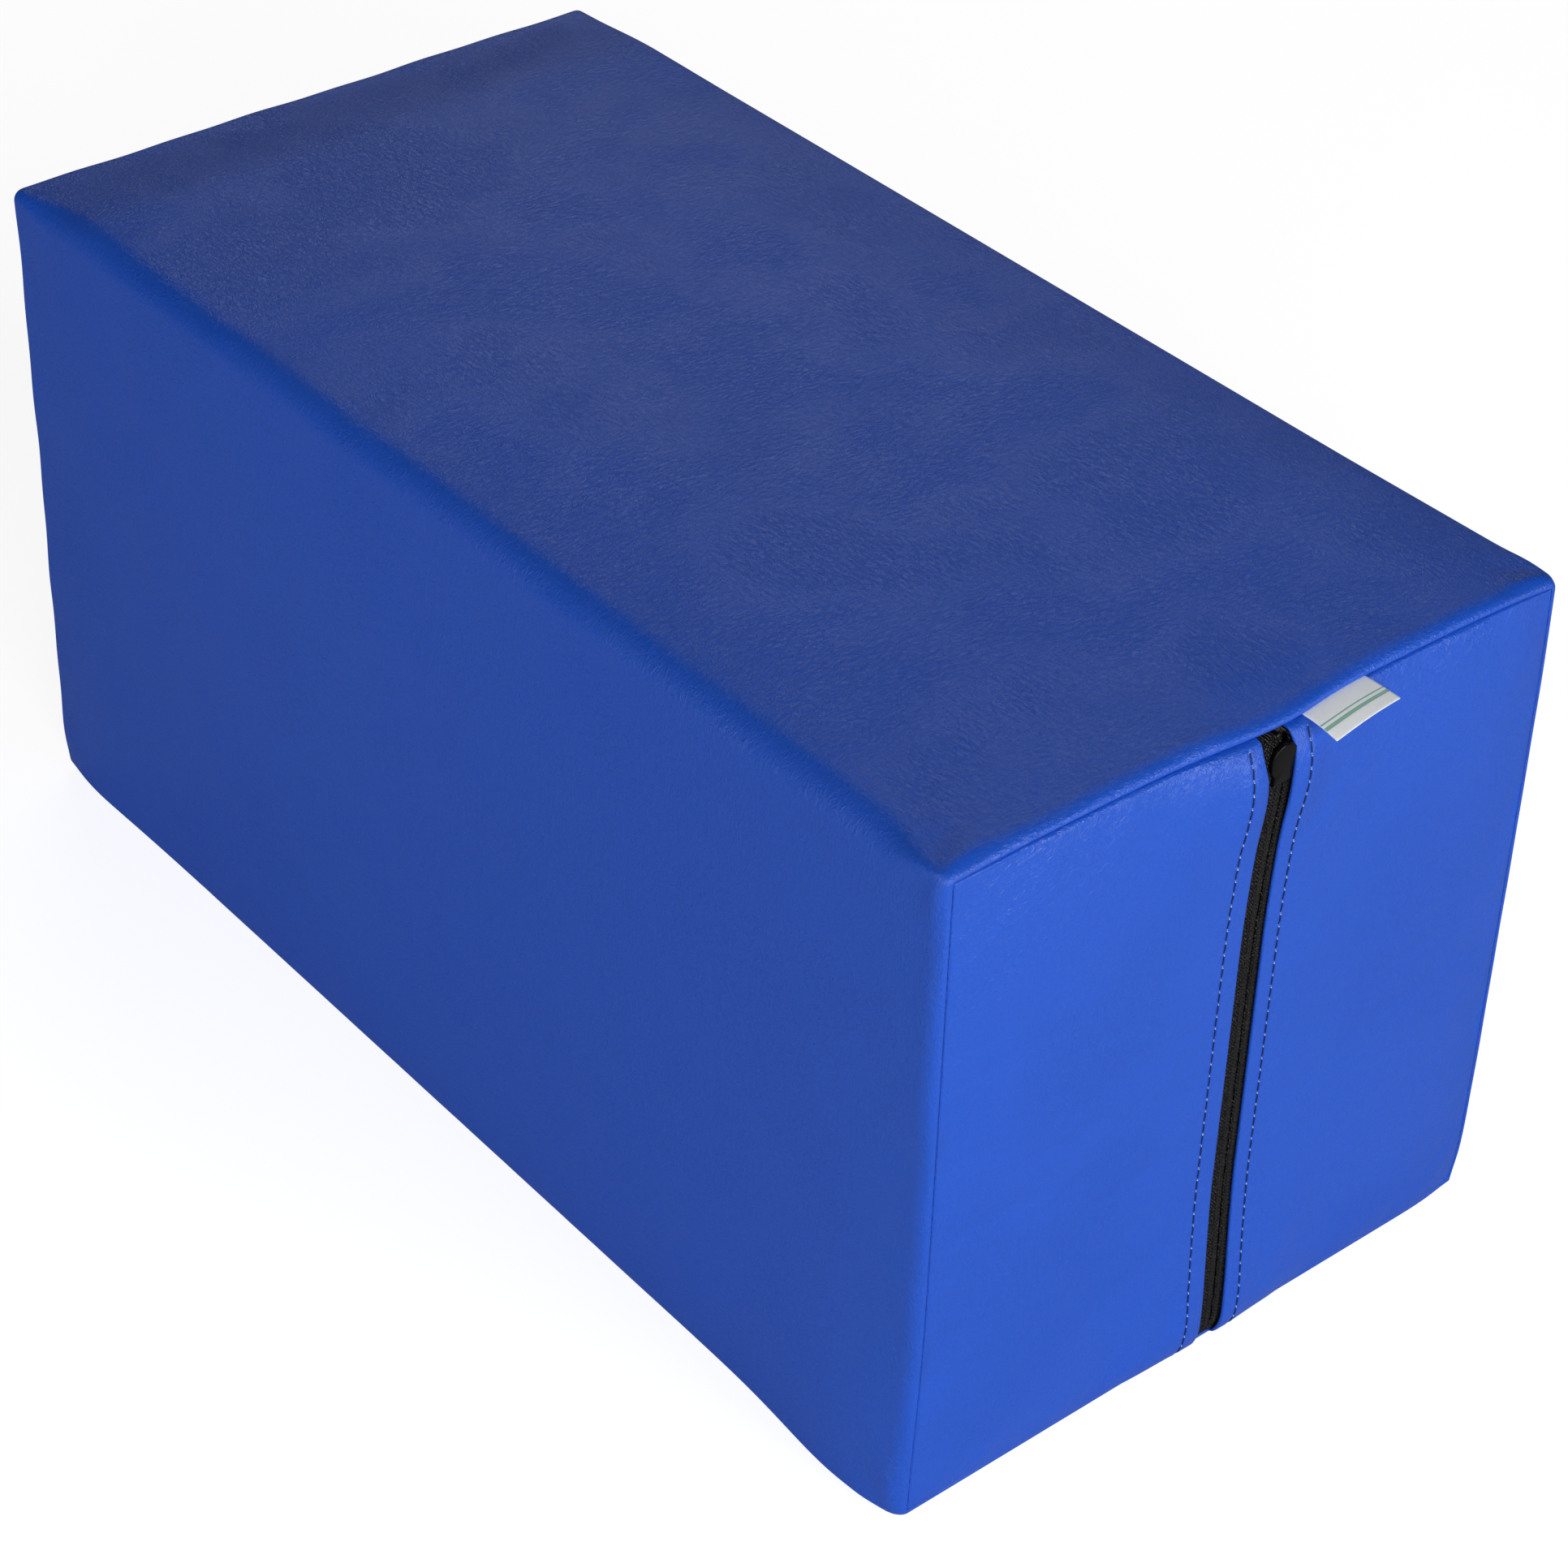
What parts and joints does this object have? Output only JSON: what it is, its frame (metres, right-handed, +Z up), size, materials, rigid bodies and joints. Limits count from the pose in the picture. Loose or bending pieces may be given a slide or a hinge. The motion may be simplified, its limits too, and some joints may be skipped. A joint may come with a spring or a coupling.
{
  "type": "foam positioning block",
  "caption": "Rectangular foam block for positioning and exercise, in a sewn leatherette cover that zips shut at one end.",
  "frame": {"origin": "centre of the flat underside that the block rests on", "axes": "+X across the zipped end, +Y from the zipped end to the far end, +Z up"},
  "size_m": [0.25, 0.5168, 0.25],
  "materials": {
    "foam": "matte",
    "leatherette": "satin",
    "zip_tape": "matte",
    "zip_nylon": "satin",
    "slider_enamel": "satin",
    "label_ribbon": "matte",
    "blue_thread": "satin"
  },
  "bodies": {
    "block": {"foam_core": "foam", "cover_sleeve": "leatherette", "far_end_panel": "leatherette", "zip_end_panel_left": "leatherette", "zip_end_panel_right": "leatherette", "zip_tape_left": "zip_tape", "zip_tape_right": "zip_tape", "zip_coil_left": "zip_nylon", "zip_coil_right": "zip_nylon", "coil_cord_left": "zip_nylon", "coil_cord_right": "zip_nylon", "coil_stitch_left": "zip_tape", "coil_stitch_right": "zip_tape", "woven_label": "label_ribbon", "topstitch_left": "blue_thread", "topstitch_right": "blue_thread", "seam_thread_zip_end": "blue_thread", "seam_thread_far_end": "blue_thread", "sleeve_seam_thread": "blue_thread"},
    "slider": {"slider_body": "slider_enamel"}
  },
  "joints": [
    {"name": "slider_travel", "type": "slide", "parent": "block", "child": "slider", "axis": [0, 0, -1], "range_m": [0, 0.218], "deforming": ["zip_tape_left", "zip_tape_right", "zip_coil_left", "zip_coil_right", "coil_cord_left", "coil_cord_right", "coil_stitch_left", "coil_stitch_right"]}
  ]
}
